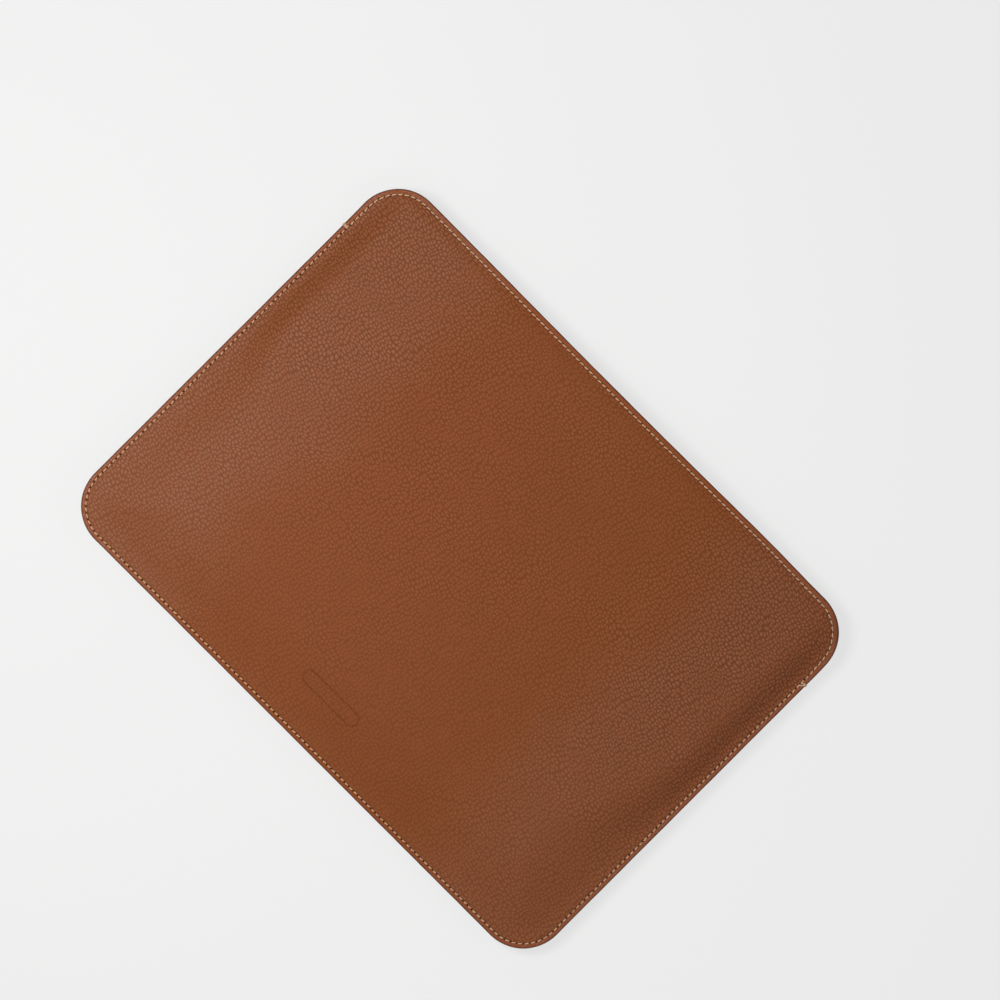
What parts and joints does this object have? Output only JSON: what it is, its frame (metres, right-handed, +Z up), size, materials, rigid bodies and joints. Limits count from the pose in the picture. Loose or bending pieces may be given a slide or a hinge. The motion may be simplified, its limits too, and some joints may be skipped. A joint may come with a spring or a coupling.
{
  "type": "laptop sleeve",
  "caption": "Flat padded leather sleeve for a slim laptop, with rounded stitched edges, thread tacks at each end of the mouth, and two soft lips that flex apart to let the laptop slide in.",
  "frame": {"origin": "middle of the resting face, on the outside of the back panel", "axes": "+X along the long side, +Y out of the mouth along the way the laptop slides, +Z up, away from the resting face towards the front panel"},
  "size_m": [0.337, 0.245, 0.0222],
  "materials": {
    "leather": "semi-aniline pebbled grain, satin",
    "edge_paint": "burnished and painted cut edge, satin",
    "lining": "brushed microfibre, matt",
    "padding": "closed-cell foam sheet, matt",
    "thread": "waxed polyester sewing thread",
    "tape": "woven stay tape, matt"
  },
  "bodies": {
    "sleeve": {"front_leather": "leather", "front_padding": "padding", "front_lining": "lining", "back_leather": "leather", "back_padding": "padding", "back_lining": "lining", "seam_needle_thread": "thread", "seam_bobbin_thread": "thread", "left_bar_tack": "thread", "right_bar_tack": "thread", "seam_edge_paint": "edge_paint"},
    "front_lip": {"front_lip_leather": "leather", "front_lip_padding": "padding", "front_lip_lining": "lining", "front_lip_needle_thread": "thread", "front_lip_bobbin_thread": "thread", "front_lip_edge_paint": "edge_paint", "front_mouth_tape": "tape"},
    "back_lip": {"back_lip_leather": "leather", "back_lip_padding": "padding", "back_lip_lining": "lining", "back_lip_needle_thread": "thread", "back_lip_bobbin_thread": "thread", "back_lip_edge_paint": "edge_paint", "back_mouth_tape": "tape"}
  },
  "joints": [
    {"name": "front_lip_flex", "type": "hinge", "parent": "sleeve", "child": "front_lip", "pos_m": [0, 0.0847, 0.0187], "axis": [1, 0, 0], "range_deg": [-6, 25], "stiffness_Nm_per_rad": 0.4},
    {"name": "back_lip_flex", "type": "hinge", "parent": "sleeve", "child": "back_lip", "pos_m": [0, 0.0847, 0.0007], "axis": [-1, 0, 0], "range_deg": [-6, 25], "stiffness_Nm_per_rad": 0.4}
  ]
}
